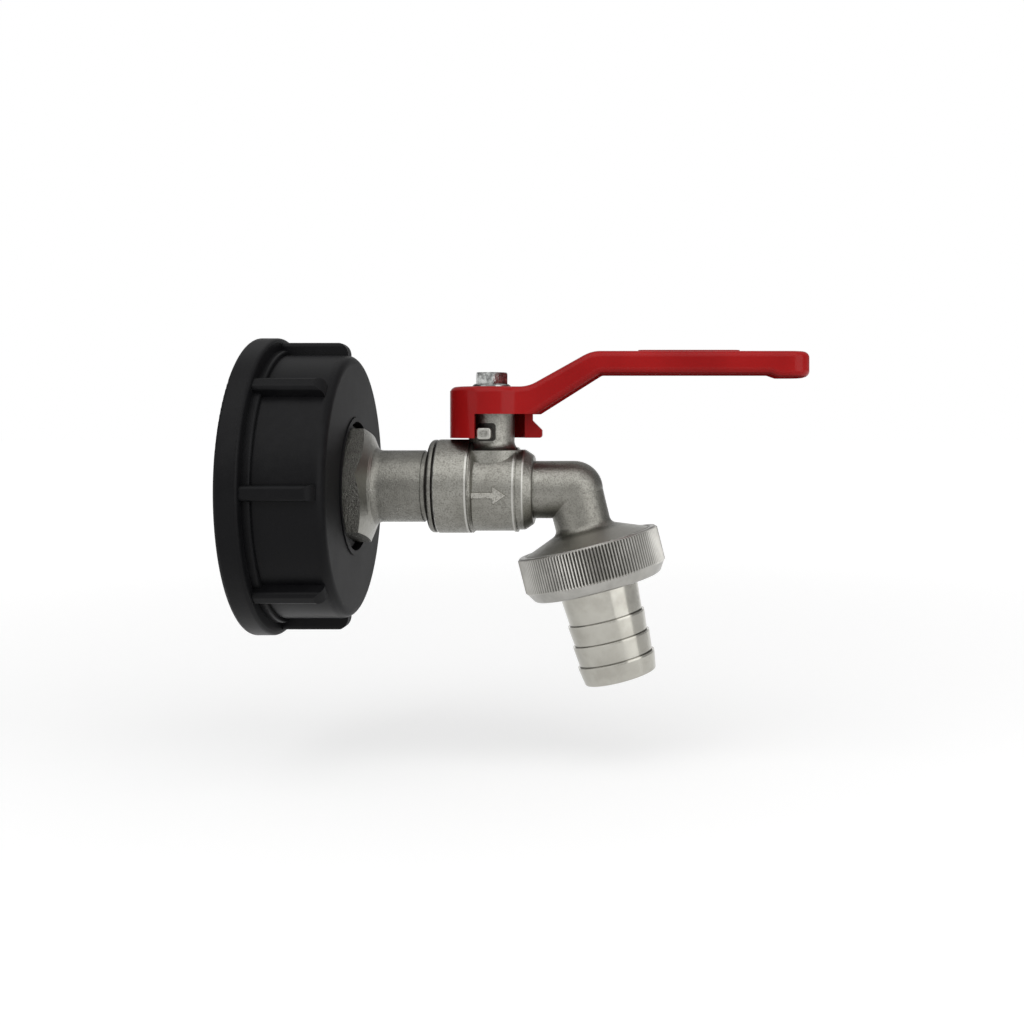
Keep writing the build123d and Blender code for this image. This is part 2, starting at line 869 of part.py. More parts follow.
with BuildPart() as lever:
    extrude(lever_plan(0), amount=arm_top + overrun)
    extrude(
        lever_side(
            0,
            [
                (lever_tip_at + overrun, arm_top - lever_arm_depth - lever_tip_drop),
                (tip_start, arm_top - lever_arm_depth - lever_tip_drop),
                (tip_start - lever_sheet, arm_top - lever_arm_depth),
                (lever_bend_end + lever_sheet, arm_top - lever_arm_depth),
                (lever_bend_at + lever_sheet, window_bottom),
                (lever_back, window_bottom),
            ],
        ),
        amount=lever_hub_radius + overrun,
        both=True,
        mode=Mode.INTERSECT,
    )
    upper = lever.edges().filter_by(lambda edge: edge.center().Z > lever_under)
    fillet(upper, lever_edge_round)
    add(channel_hollow.part, mode=Mode.SUBTRACT)
    with BuildSketch(Plane.XY.offset(lever_skirt_bottom)):
        with Locations((stem_at, 0)):
            Circle(lever_hub_radius)
            Circle(hub_inner_radius, mode=Mode.SUBTRACT)
        with Locations((tab_edge + lever_hub_radius, stop_from - lever_hub_radius)):
            Rectangle(2 * lever_hub_radius, 2 * lever_hub_radius, mode=Mode.SUBTRACT)
    extrude(amount=skirt_top - lever_skirt_bottom)
    extrude(
        outline(
            [
                (stem_at + hub_inner_radius, lever_skirt_bottom),
                (stem_at + hub_inner_radius, skirt_top),
                (stop_notch_at, skirt_top),
                (stop_notch_at, stop_tooth_top + stop_tooth_slope),
                (stop_end_at, stop_tooth_top),
                (stop_end_at, lever_skirt_bottom),
            ],
            plane=Plane.XZ.offset(-stop_from),
            rounds={3: stop_round, 4: stop_round, 5: stop_round},
        ),
        amount=-lever_sheet,
    )
    with BuildSketch(Plane.XY.offset(arm_top)):
        with Locations((lever_plate_middle, 0)):
            RectangleRounded(
                lever_plate_length, 2 * (lever_half_width - lever_plate_margin), lever_edge_round
            )
    extrude(amount=lever_plate_height)
    with BuildSketch(Plane.XY.offset(lever_under)):
        with Locations((stem_at, 0)):
            Circle(stem_radius + lever_hole_gap)
            Rectangle(
                stem_flats + 2 * lever_hole_gap, 2 * (stem_radius + lever_hole_gap), mode=Mode.INTERSECT
            )
    extrude(amount=lever_sheet, mode=Mode.SUBTRACT)
finish(lever, "lever")

# Lever nut with its flange
nut_corner_radius = lever_nut_across_flats / sqrt(3)
nut_plane = Plane((stem_at, 0, lever_top), x_dir=(1, 0, 0), z_dir=(0, 0, 1))
with BuildPart() as lever_nut:
    extrude(hexagon(nut_plane, lever_nut_across_flats, lever_nut_turn), amount=lever_nut_height)
    revolve(
        outline(
            [
                (0, lever_top),
                (nut_corner_radius, lever_top),
                (nut_corner_radius, lever_top + lever_nut_height - lever_nut_chamfer),
                (nut_corner_radius - lever_nut_chamfer, lever_top + lever_nut_height),
                (0, lever_top + lever_nut_height),
            ],
            plane=stem_plane,
        ),
        axis=stem_axis,
        mode=Mode.INTERSECT,
    )
    revolve(
        outline(
            [
                (0, lever_top),
                (nut_corner_radius + lever_nut_flange_step, lever_top),
                (nut_corner_radius + lever_nut_flange_step, lever_top + lever_nut_flange / 2),
                (nut_corner_radius, lever_top + lever_nut_flange),
                (0, lever_top + lever_nut_flange),
            ],
            plane=stem_plane,
        ),
        axis=stem_axis,
    )
    with BuildSketch(nut_plane.offset(-overrun)):
        Circle(stem_thread_radius + thread_gap)
    extrude(amount=lever_nut_height + 2 * overrun, mode=Mode.SUBTRACT)
finish(lever_nut, "lever_nut")
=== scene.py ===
import math

import bmesh
import bpy
import numpy as np
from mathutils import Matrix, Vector


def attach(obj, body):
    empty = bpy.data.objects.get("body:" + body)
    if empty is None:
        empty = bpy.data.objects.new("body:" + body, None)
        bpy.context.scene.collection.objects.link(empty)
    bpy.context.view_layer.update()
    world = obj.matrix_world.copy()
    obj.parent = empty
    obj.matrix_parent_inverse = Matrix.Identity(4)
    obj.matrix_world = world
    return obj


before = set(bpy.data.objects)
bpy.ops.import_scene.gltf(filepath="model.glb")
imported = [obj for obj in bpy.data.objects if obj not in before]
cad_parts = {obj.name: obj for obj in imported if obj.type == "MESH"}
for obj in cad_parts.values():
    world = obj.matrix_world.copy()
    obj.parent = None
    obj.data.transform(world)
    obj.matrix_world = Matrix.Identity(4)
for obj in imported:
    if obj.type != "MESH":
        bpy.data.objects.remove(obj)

# Metres in a millimetre, and the directions along the flow, away from the camera and up the stem
mm = 0.001
wayX, wayY, wayZ = (1.0, 0.0, 0.0), (0.0, 1.0, 0.0), (0.0, 0.0, 1.0)
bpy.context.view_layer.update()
print("tank tap: frame loaded,", len(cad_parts), "nodes")

# Places of the tap that its patterns and added pieces follow, in millimetres from the cap's mouth
# and the valve axis, or along the outlet axis from the nut's top
places = {
    "elbowAt": 84.4,
    "elbowDrop": 0.95,
    "outletLength": 14.43,
    "outletTilt": 14.0,  # degrees
    "middleRadius": 11.1,
    "capThreadRadius": 30.25,
    "spoutThreadStart": 1.4,
    "spoutThreadInside": 15.9,
    "nutRadius": 19.3,
    "knurlStart": 0.6,
    "knurlEnd": 9.4,
    "knurlDepth": 0.42,
    "shadeDepths": (1.2, 1.0),  # under the nut's rim, where the painted shade fades out
    "hexagon": (20.0, 31.4),  # from inside the cap to the blend before the pipe
    "stemAt": 62.1,
    "neckRadius": 6.15,
    "lugFace": -9.5,
    # rounded rectangles: the middle, half the width and height, and the corner's radius
    # the patch of painted shade round the lug's foot, and of the painted highlight on its end face
    "lugRecess": {"middle": (61.45, 14.6), "half": (2.55, 2.5), "corner": 1.0},
    "lugMiddle": {"middle": (61.1, 14.2), "half": (1.3, 0.95), "corner": 0.85},
    "discSpan": (-3.0, 0.8),
    "discBright": (9.0, 11.5),  # distances from the outlet axis over which its painted highlight brightens
    "neckFade": (8.0, 10.0),  # heights over which the rings end
    # painted shade in the gap before the collar
    "collarShade": [(45.3, 46.5)],
    # painted highlights along the bead edges
    "beadHighlights": [(48.0, 48.4), (56.3, 56.8), (68.6, 69.1), (71.1, 71.5)],
    # painted shadow lines at the feet of the barbs
    "barbFeet": [(20.7, 21.0), (26.35, 26.65), (32.0, 32.3)],
}
outletTilt = math.radians(places["outletTilt"])
outletWay = np.array([math.sin(outletTilt), 0.0, -math.cos(outletTilt)])
outletSide = np.array([math.cos(outletTilt), 0.0, math.sin(outletTilt)])
elbowCorner = np.array([places["elbowAt"], 0.0, -places["elbowDrop"]])
outletTop = (elbowCorner + outletWay * places["outletLength"]) * mm
outletOffset = float(outletTop @ outletWay)


# The picture plane is parallel to the tap's own plane, so the camera is shifted, not turned
cameraSizes = {
    "imagePixels": 1024,
    "footPixelX": 655.0,  # where the camera's axis meets the picture
    "footPixelY": 425.0,
    "originPixelX": 261.7,  # where the cap's mouth and the valve axis meet
    "originPixelY": 486.0,
    "distancePixels": 1300.0,
    "pixelSize": 0.27,  # millimetres in the tap's own plane
    "sensor": 36.0,
}


def makeCamera(sizes):
    pixels, step = sizes["imagePixels"], sizes["pixelSize"] * mm
    data = bpy.data.cameras.new("photoCamera")
    camera = bpy.data.objects.new("photoCamera", data)
    bpy.context.scene.collection.objects.link(camera)
    data.sensor_width = sizes["sensor"]
    data.lens = sizes["sensor"] * sizes["distancePixels"] / pixels
    data.shift_x = (pixels / 2 - sizes["footPixelX"]) / pixels
    data.shift_y = (sizes["footPixelY"] - pixels / 2) / pixels
    data.clip_start, data.clip_end = 0.01, 20.0
    camera.location = (
        (sizes["footPixelX"] - sizes["originPixelX"]) * step,
        -sizes["distancePixels"] * step,
        (sizes["originPixelY"] - sizes["footPixelY"]) * step,
    )
    camera.rotation_euler = (math.radians(90), 0, 0)
    bpy.context.scene.camera = camera


makeCamera(cameraSizes)
print("camera set")


# A socket that takes part in sums: arithmetic on it adds Math nodes to its tree
class Wire:
    def __init__(self, recipe, socket):
        self.recipe, self.socket = recipe, socket

    def math(self, operation, *terms):
        return self.recipe.add("ShaderNodeMath", {"operation": operation}, dict(enumerate(terms)))

    def __add__(self, other):
        return self.math("ADD", self, other)

    def __radd__(self, other):
        return self.math("ADD", other, self)

    def __sub__(self, other):
        return self.math("SUBTRACT", self, other)

    def __rsub__(self, other):
        return self.math("SUBTRACT", other, self)

    def __mul__(self, other):
        return self.math("MULTIPLY", self, other)

    def sine(self):
        return self.math("SINE", self)

    def root(self):
        return self.math("SQRT", self)

    def size(self):
        return self.math("ABSOLUTE", self)

    def angle(self, other):
        return self.math("ARCTAN2", self, other)

    def most(self, other):
        return self.math("MAXIMUM", self, other)


# A node tree: add() makes any node, settings first, then the values or wires of its sockets
class Recipe:
    def __init__(self, tree, coordinates):
        self.tree = tree
        tree.nodes.clear()
        self.place = self.add("ShaderNodeTexCoord", {}, {}, coordinates)

    def plug(self, socket, value):
        if isinstance(value, Wire):
            self.tree.links.new(value.socket, socket)
        else:
            socket.default_value = value

    def add(self, kind, settings, sockets, result=0):
        node = self.tree.nodes.new(kind)
        for name, value in settings.items():
            setattr(node, name, value)
        for name, value in sockets.items():
            self.plug(node.inputs[name], value)
        return Wire(self, node.outputs[result])

    def end(self, kind, surface):
        self.tree.links.new(surface.socket, self.tree.nodes.new(kind).inputs["Surface"])

    def noise(self, scale, detail, roughness):
        sockets = {"Vector": self.place, "Scale": scale, "Detail": detail, "Roughness": roughness}
        return self.add("ShaderNodeTexNoise", {}, sockets)

    # dot product of the place with a direction, less an offset: the distance along an axis
    def along(self, direction, offset=0.0):
        settings = {"operation": "DOT_PRODUCT"}
        dot = self.add("ShaderNodeVectorMath", settings, {0: self.place, 1: tuple(direction)}, "Value")
        return dot - offset

    def blend(self, factor, first, second):
        return self.add("ShaderNodeMix", {"data_type": "RGBA"}, {0: factor, 6: first, 7: second}, 2)

    # smooth step of a wire between two values
    def between(self, value, low, high):
        settings = {"interpolation_type": "SMOOTHSTEP"}
        sockets = {"Value": value, "From Min": low, "From Max": high, "To Min": 0.0, "To Max": 1.0}
        return self.add("ShaderNodeMapRange", settings, sockets)

    def bump(self, height, distance, strength, normal=None):
        sockets = {"Height": height, "Distance": distance, "Strength": strength}
        if normal is not None:
            sockets["Normal"] = normal
        return self.add("ShaderNodeBump", {}, sockets)

    # one on rays of a kind, such as those from the camera, and zero on all others
    def ray(self, kind):
        return self.add("ShaderNodeLightPath", {}, {}, kind)

    # cosine between the surface's own normal and a direction
    def facing(self, direction):
        normal = self.add("ShaderNodeTexCoord", {}, {}, "Normal")
        settings = {"operation": "DOT_PRODUCT"}
        return self.add("ShaderNodeVectorMath", settings, {0: normal, 1: direction}, "Value")


# One material on the Principled shader
class Finish(Recipe):
    def __init__(self, name):
        self.material = bpy.data.materials.new(name)
        self.material.use_nodes = True
        super().__init__(self.material.node_tree, "Object")

    # one between start and end, with soft edges: a smooth step up times a smooth step down
    def band(self, value, start, end, edge):
        return self.between(value, start - edge, start) * (1.0 - self.between(value, end - edge, end))

    # one inside a rounded rectangle: the distance past its core, held against the corner's radius
    def patch(self, forward, upward, shape):
        corner = shape["corner"] * mm
        pairs = zip((forward, upward), shape["middle"], shape["half"])
        past = [((way - at * mm).size() - (half * mm - corner)).most(0.0) for way, at, half in pairs]
        distance = (past[0] * past[0] + past[1] * past[1]).root()
        return 1.0 - self.between(distance, corner - 0.2 * mm, corner)

    # distance from the outlet axis: the root of the sum of two squares
    def reach(self):
        self.across = self.along(outletSide, float(outletTop @ outletSide))
        self.aside = self.along(wayY)
        return (self.across * self.across + self.aside * self.aside).root()

    def surface(self, **sockets):
        named = {name.replace("_", " "): value for name, value in sockets.items()}
        self.end("ShaderNodeOutputMaterial", self.add("ShaderNodeBsdfPrincipled", {}, named))
        return self.material


# Black moulded polypropylene: a fine grain, slow waves, a trace of dust and a duller front face. In
# this look and the next ones, a noise is given by its scale, detail and roughness
capLook = {
    "black": (0.0035, 0.0035, 0.0041, 1.0),
    "worn": (0.0072, 0.0072, 0.0078, 1.0),
    "roughLow": 0.3,
    "roughSpan": 0.14,
    "roughSpecks": 0.05,
    "roughFront": 0.15,
    "gloss": 0.11,
    "patches": (38.0, 4.0, 0.6),
    "specks": (420.0, 3.0, 0.7),
    "grain": (2600.0, 2.0, 0.5),
    "grainDepth": 0.00005,
    "waves": (60.0, 1.0, 0.4),
    "waveDepth": 0.0004,
}


def blackPlastic(name, look):
    finish = Finish(name)
    patches = finish.noise(*look["patches"])
    specks = finish.noise(*look["specks"])
    worn = finish.between(patches * 0.7 + specks * 0.3, 0.42, 0.72)
    waved = finish.bump(finish.noise(*look["waves"]), look["waveDepth"], strength=0.25)
    rough = look["roughLow"] + patches * look["roughSpan"] + specks * look["roughSpecks"]
    front = finish.between(finish.facing(wayX), 0.5, 0.9)
    return finish.surface(
        Base_Color=finish.blend(worn, look["black"], look["worn"]),
        Roughness=rough + front * look["roughFront"],
        Specular_IOR_Level=look["gloss"],
        Normal=finish.bump(finish.noise(*look["grain"]), look["grainDepth"], strength=0.5, normal=waved),
    )


# Sand-blasted nickel over brass: fine pits, a little cloudiness and warmer, darker hollows
castLook = {
    "bright": (0.298, 0.293, 0.266, 1.0),
    "dull": (0.232, 0.226, 0.202, 1.0),
    "pit": (0.165, 0.16, 0.141, 1.0),
    "roughLow": 0.24,
    # painted highlight on the bead edges, the colour of the rings
    "ring": (0.46, 0.455, 0.425, 1.0),
    # painted shade round the lug's foot
    "paintedLugShading": (0.035, 0.033, 0.03, 1.0),
    # painted highlight on the rim of the spout's disc
    "disc": (0.41, 0.404, 0.371, 1.0),
    # painted highlight on the lug's end face
    "lug": (0.4, 0.395, 0.365, 1.0),
    "lugMiddle": (0.17, 0.166, 0.152, 1.0),
    "lugEven": 0.35,  # share of its middle's tone where there are no pits
    "roughClouds": 0.12,
    "roughPits": 0.15,
    "clouds": (70.0, 4.0, 0.6),
    "grain": (2600.0, 3.0, 0.65),
    "pitDepth": 0.00013,
    "coarse": (640.0, 3.0, 0.6),
    "coarseDepth": 0.0002,
    "threadPitch": 0.002309,
    "threadDepth": 0.0007,
}


# The outlet thread's bump, turned once round the outlet axis for each pitch
def spoutThread(finish, look, under):
    edge, start, inside = 0.1 * mm, places["spoutThreadStart"] * mm, places["spoutThreadInside"] * mm
    depth = finish.along(outletWay, outletOffset)
    onThread = finish.between(depth, start - edge, start)
    onThread = onThread * finish.between(finish.reach(), inside - edge, inside)
    turned = (depth * (2 * math.pi / look["threadPitch"]) - finish.across.angle(finish.aside)).sine()
    return finish.bump(turned * onThread, look["threadDepth"], strength=1.0, normal=under)


# Rings are places along the valve axis that are painted differently: painted highlights along the bead
# edges, or painted shade in the gap before the collar
def ringTone(finish, look, tone, rings):
    forward = finish.along(wayX)
    low, high = places["neckFade"]
    belowNeck = 1.0 - finish.between(finish.along(wayZ), low * mm, high * mm)
    # each ring gets the look's ring colour: a painted highlight on the beads, painted shade before the
    # collar
    for start, end in rings:
        ring = finish.band(forward, start * mm, end * mm, edge=0.15 * mm)
        tone = finish.blend(ring * belowNeck, tone, look["ring"])
    return tone


# Painted highlight: the spout's disc is painted brighter towards its rim than the casting above it
def discTone(finish, look, tone):
    top, bottom = places["discSpan"]
    inner, outer = places["discBright"]
    onDisc = finish.band(finish.along(outletWay, outletOffset), top * mm, bottom * mm, edge=0.5 * mm)
    outward = finish.between(finish.reach(), inner * mm, outer * mm)
    return finish.blend(onDisc * outward, tone, look["disc"])


# The stop lug: painted shade round its foot on the neck, a painted highlight on its end face and a darker,
# pitted middle on it
def lugTone(finish, look, tone, pits):
    forward, aside, upward = [finish.along(way) for way in (wayX, wayY, wayZ)]
    fromStem = forward - places["stemAt"] * mm
    neck, face = places["neckRadius"] * mm, places["lugFace"] * mm
    near, edge = 0.1 * mm, 0.2 * mm
    reach = (fromStem * fromStem + aside * aside).root()
    paintedLugShading = finish.patch(forward, upward, places["lugRecess"])
    middle = finish.patch(forward, upward, places["lugMiddle"])
    onNeck = 1.0 - finish.between(reach, neck + near, neck + edge)
    onNeck = onNeck * (1.0 - finish.between(aside, -edge, 0.0))
    onFace = 1.0 - finish.between(aside, face + near, face + edge)
    # painted shade round the lug's foot on the neck, then a painted highlight on its end face
    tone = finish.blend(paintedLugShading * onNeck, tone, look["paintedLugShading"])
    tone = finish.blend(paintedLugShading * onFace, tone, look["lug"])
    share = look["lugEven"] + pits * (1.0 - look["lugEven"])
    return finish.blend(middle * onFace * share, tone, look["lugMiddle"])


# The details of a cast piece give its tone and how many times deeper its grain is
def bodyDetails(finish, look, tone, pits):
    tone = ringTone(finish, look, tone, places["beadHighlights"])
    return discTone(finish, look, lugTone(finish, look, tone, pits)), 1.0


# The hexagon's sides are darker and rough, darker still in their pits, and its chamfer and other faces
# turned along the flow are lighter
def inletDetails(finish, look, tone, pits):
    # painted shade in the gap before the collar, as a dark ring
    tone = ringTone(finish, look, tone, places["collarShade"])
    start, end = places["hexagon"]
    onHexagon = finish.band(finish.along(wayX), start * mm, end * mm, edge=0.2 * mm)
    ahead = finish.between(finish.facing(wayX), 0.3, 0.6)
    tone = finish.blend(onHexagon * ahead, tone, look["chamfer"])
    sides = onHexagon * (1.0 - ahead)
    share = look["hexSideEven"] + pits * look["hexSidePits"]
    tone = finish.blend(sides * share, tone, look["hexSideTone"])
    return tone, 1.0 + sides * look["sideGrain"]


def castNickel(name, look, details=None):
    finish = Finish(name)
    clouds = finish.noise(*look["clouds"])
    grain = finish.noise(*look["grain"])
    coarse = finish.noise(*look["coarse"])
    pits = finish.between(grain * 0.75 + coarse * 0.25, 0.42, 0.66)
    tone = finish.blend(finish.between(clouds, 0.3, 0.7), look["bright"], look["dull"])
    tone = finish.blend(pits, tone, look["pit"])
    if details:
        tone, deeper = details(finish, look, tone, pits)
        grain = grain * deeper
    thread = spoutThread(finish, look, finish.bump(coarse, look["coarseDepth"], strength=0.5))
    return finish.surface(
        Base_Color=tone,
        Roughness=look["roughLow"] + clouds * look["roughClouds"] + pits * look["roughPits"],
        Metallic=1.0,
        Normal=finish.bump(grain, look["pitDepth"], strength=0.7, normal=thread),
    )


# Turned and plated metal: fine rings round the axis that the piece was turned on
turnedLook = {
    "bright": (0.46, 0.448, 0.405, 1.0),
    "dull": (0.39, 0.378, 0.338, 1.0),
    "roughLow": 0.08,
    "roughClouds": 0.1,
    "roughScratches": 0.06,
    "wobble": (900.0, 2.0, 0.5),
    "clouds": (160.0, 3.0, 0.6),
    "scratches": (2400.0, 2.0, 0.6),
    "ringPitch": 0.00022,
    "ringWobble": 2.5,
    "ringShare": 0.5,
    "ringDepth": 0.000012,
    # painted shade in the knurl's grooves and at the barbs' feet
    "paintedShade": (0.09, 0.086, 0.079, 1.0),
    # share of the painted shadow lines at the barbs' feet
    "footShadeShare": 0.7,
}


# Painted shade fills the knurl's grooves: below the rim, but not as deep as the nut's bore
def knurlGrooveShade(finish, depth):
    rim, start, end = places["nutRadius"] * mm, places["knurlStart"] * mm, places["knurlEnd"] * mm
    deep, shallow = places["shadeDepths"]
    groove, bare = places["knurlDepth"] * mm, 0.06 * mm
    reach = finish.reach()
    inGroove = finish.between(reach, rim - deep * mm, rim - shallow * mm)
    inGroove = inGroove * (1.0 - finish.between(reach, rim - groove, rim - bare))
    return inGroove * finish.band(depth, start, end, edge=0.2 * mm)


def turnedNickel(name, look, axis, offset, knurled=False, feet=()):
    finish = Finish(name)
    depth = finish.along(axis, offset)
    wobble = finish.noise(*look["wobble"])
    rings = (depth * (2 * math.pi / look["ringPitch"]) + wobble * look["ringWobble"]).sine()
    clouds = finish.noise(*look["clouds"])
    scratches = finish.noise(*look["scratches"])
    tone = finish.blend(finish.between(clouds, 0.35, 0.7), look["bright"], look["dull"])
    if knurled:
        # painted shade in the knurl's grooves
        tone = finish.blend(knurlGrooveShade(finish, depth), tone, look["paintedShade"])
    # painted shadow lines at the barbs' feet
    for start, end in feet:
        foot = finish.band(depth, start * mm, end * mm, edge=0.1 * mm)
        tone = finish.blend(foot * look["footShadeShare"], tone, look["paintedShade"])
    return finish.surface(
        Base_Color=tone,
        Roughness=look["roughLow"] + clouds * look["roughClouds"] + scratches * look["roughScratches"],
        Metallic=1.0,
        Normal=finish.bump(rings * look["ringShare"] + wobble, look["ringDepth"], strength=0.6),
    )


# Glossy red coating on pressed steel: orange peel, slow changes of depth, and painted shade underneath,
# where it is also rougher and has no clear coat
coatLook = {
    "deep": (0.266, 0.0058, 0.0062, 1.0),
    "fresh": (0.34, 0.0086, 0.0088, 1.0),
    # painted shade on the underside
    "under": (0.2, 0.006, 0.006, 1.0),
    "roughLow": 0.18,
    "roughUnder": 0.6,
    "gloss": 0.09,
    "coat": 0.08,
    "coatRough": 0.06,
    "roughSlow": 0.06,
    "roughDust": 0.07,
    "slow": (45.0, 3.0, 0.5),
    "peel": (340.0, 2.0, 0.5),
    "peelDepth": 0.0002,
    "dust": (2200.0, 2.0, 0.6),
}


def redCoat(name, look):
    finish = Finish(name)
    slow = finish.noise(*look["slow"])
    dust = finish.noise(*look["dust"])
    # faces turned down get painted shade, more roughness and no clear coat
    under = finish.between(finish.facing((0.0, 0.0, -1.0)), 0.7, 0.86)
    red = finish.blend(finish.between(slow, 0.3, 0.7), look["deep"], look["fresh"])
    rough = look["roughLow"] + slow * look["roughSlow"] + dust * look["roughDust"]
    return finish.surface(
        Base_Color=finish.blend(under, red, look["under"]),
        Roughness=rough + under * look["roughUnder"],
        Specular_IOR_Level=look["gloss"],
        Coat_Weight=(1.0 - under) * look["coat"],
        Coat_Roughness=look["coatRough"],
        Normal=finish.bump(finish.noise(*look["peel"]), look["peelDepth"], strength=0.35),
    )


# Zinc plate: bright, with dull clouds and fine tumbling marks
zincLook = {
    "bright": (0.42, 0.43, 0.42, 1.0),
    "dull": (0.13, 0.134, 0.13, 1.0),
    "roughLow": 0.08,
    "roughMarks": 0.14,
    "marks": (1400.0, 3.0, 0.6),
    "clouds": (620.0, 3.0, 0.6),
    "cloudDepth": 0.00015,
}


def zincPlate(name, look):
    finish = Finish(name)
    clouds = finish.noise(*look["clouds"])
    return finish.surface(
        Base_Color=finish.blend(finish.between(clouds, 0.35, 0.65), look["bright"], look["dull"]),
        Roughness=look["roughLow"] + finish.noise(*look["marks"]) * look["roughMarks"],
        Metallic=1.0,
        Normal=finish.bump(clouds, look["cloudDepth"], strength=0.4),
    )


# Matt rubber and white PTFE share one recipe and one grain, on a nearly even colour
softLook = {
    "rubber": {"light": (0.02, 0.02, 0.02, 1.0), "dark": (0.01, 0.01, 0.01, 1.0), "rough": 0.62},
    "ptfe": {"light": (0.8, 0.8, 0.78, 1.0), "dark": (0.68, 0.68, 0.66, 1.0), "rough": 0.42},
}
softGrain = {
    "clouds": (150.0, 3.0, 0.6),
    "grain": (1800.0, 2.0, 0.5),
    "depth": 0.00005,
    "rough": 0.12,
}


def softFinish(name, look):
    finish = Finish(name)
    clouds = finish.noise(*softGrain["clouds"])
    grain = finish.noise(*softGrain["grain"])
    return finish.surface(
        Base_Color=finish.blend(clouds, look["light"], look["dark"]),
        Roughness=look["rough"] + grain * softGrain["rough"],
        Normal=finish.bump(grain, softGrain["depth"], strength=0.5),
    )


# What single pieces change in the looks above
inletLook = dict(
    castLook,
    bright=(0.243, 0.239, 0.217, 1.0),
    dull=(0.187, 0.183, 0.164, 1.0),
    pit=(0.143, 0.139, 0.124, 1.0),
    chamfer=(0.32, 0.315, 0.287, 1.0),
    hexSideTone=(0.075, 0.073, 0.066, 1.0),
    hexSideEven=0.35,
    hexSidePits=0.3,
    sideGrain=3.0,
    roughLow=0.22,
    # painted shade in the gap before the collar, the colour of its ring
    ring=(0.03, 0.028, 0.025, 1.0),
)
markLook = dict(castLook, bright=(0.46, 0.45, 0.415, 1.0), dull=(0.38, 0.37, 0.335, 1.0), roughLow=0.22)
nutLook = dict(
    turnedLook,
    bright=(0.44, 0.431, 0.405, 1.0),
    dull=(0.35, 0.343, 0.32, 1.0),
    # painted shade in the knurl's grooves
    paintedShade=(0.11, 0.107, 0.098, 1.0),
    roughLow=0.25,
)
finishes = {
    "capPlastic": blackPlastic("capPlastic", capLook),
    "bushPlastic": blackPlastic("bushPlastic", dict(capLook, roughLow=0.42)),
    "castNickel": castNickel("castNickel", castLook, bodyDetails),
    "inletNickel": castNickel("inletNickel", inletLook, inletDetails),
    "markNickel": castNickel("markNickel", markLook),
    "tailNickel": turnedNickel("tailNickel", turnedLook, outletWay, outletOffset, feet=places["barbFeet"]),
    "knurlNickel": turnedNickel("knurlNickel", nutLook, outletWay, outletOffset, knurled=True),
    "stemNickel": turnedNickel("stemNickel", turnedLook, wayZ, 0.0),
    "ballChrome": turnedNickel("ballChrome", dict(turnedLook, roughLow=0.05), wayX, 0.0),
    "redCoat": redCoat("redCoat", coatLook),
    "zincPlate": zincPlate("zincPlate", zincLook),
    "rubber": softFinish("rubber", softLook["rubber"]),
    "ptfe": softFinish("ptfe", softLook["ptfe"]),
}
nodeFinishes = {
    "coupling_cap": "capPlastic",
    "adapter_bush": "bushPlastic",
    "tank_gasket": "rubber",
    "hex_washer": "rubber",
    "inlet_connector": "inletNickel",
    "connector_o_ring": "rubber",
    "valve_body": "castNickel",
    "inlet_seat": "ptfe",
    "outlet_seat": "ptfe",
    "ball": "ballChrome",
    "stem": "stemNickel",
    "stem_o_ring_lower": "rubber",
    "stem_o_ring_upper": "rubber",
    "thrust_washer": "ptfe",
    "lever": "redCoat",
    "lever_nut": "zincPlate",
    "union_nut": "knurlNickel",
    "tail_gasket": "rubber",
    "hose_tail": "tailNickel",
}
for nodeName, finishName in nodeFinishes.items():
    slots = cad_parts[nodeName].data.materials
    slots.clear()
    slots.append(finishes[finishName])
print("finishes on", len(nodeFinishes), "nodes")


# Three squares less two cubes of a share that is held between zero and one
def smoothStep(share):
    share = np.clip(share, 0.0, 1.0)
    return share * share * (3.0 - 2.0 * share)


meshSizes = {"mergeWithin": 0.002, "sharpAngle": 42.0}  # millimetres and degrees


# A closed mesh from rows of closed sections, points shaped (rows, columns, 3), with its ends filled
def sectionPiece(name, points, finishName, body):
    rows, columns = points.shape[:2]
    row = np.arange(rows - 1)[:, None] * columns
    column = np.arange(columns)[None, :]
    following = (column + 1) % columns
    sides = [row + column, row + columns + column, row + columns + following, row + following]
    faces = np.stack(sides, axis=-1).reshape(-1, 4).tolist()
    first = list(range(columns))
    faces += [first, [corner + (rows - 1) * columns for corner in reversed(first)]]
    mesh = bpy.data.meshes.new(name)
    mesh.from_pydata(points.reshape(-1, 3).tolist(), [], faces)
    shape = bmesh.new()
    shape.from_mesh(mesh)
    bmesh.ops.remove_doubles(shape, verts=shape.verts, dist=meshSizes["mergeWithin"] * mm)
    bmesh.ops.recalc_face_normals(shape, faces=shape.faces)
    shape.to_mesh(mesh)
    shape.free()
    mesh.polygons.foreach_set("use_smooth", np.ones(len(mesh.polygons), bool))
    mesh.set_sharp_from_angle(angle=math.radians(meshSizes["sharpAngle"]))
    mesh.materials.append(finishes[finishName])
    piece = bpy.data.objects.new(name, mesh)
    bpy.context.scene.collection.objects.link(piece)
    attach(piece, body)


# Coarse right-hand thread in the cap: a trapezoid carried along a helix, fading out at both ends
ridgeSizes = {
    "height": 1.9,
    "footWidth": 3.6,
    "crestWidth": 1.7,
    "pitch": 6.0,
    "start": 2.6,
    "turns": 1.35,
    "fade": 0.09,
    "sink": 0.08,
    "least": 0.01,  # keeps foot and crest apart where the ridge ends
    "steps": 420,
}


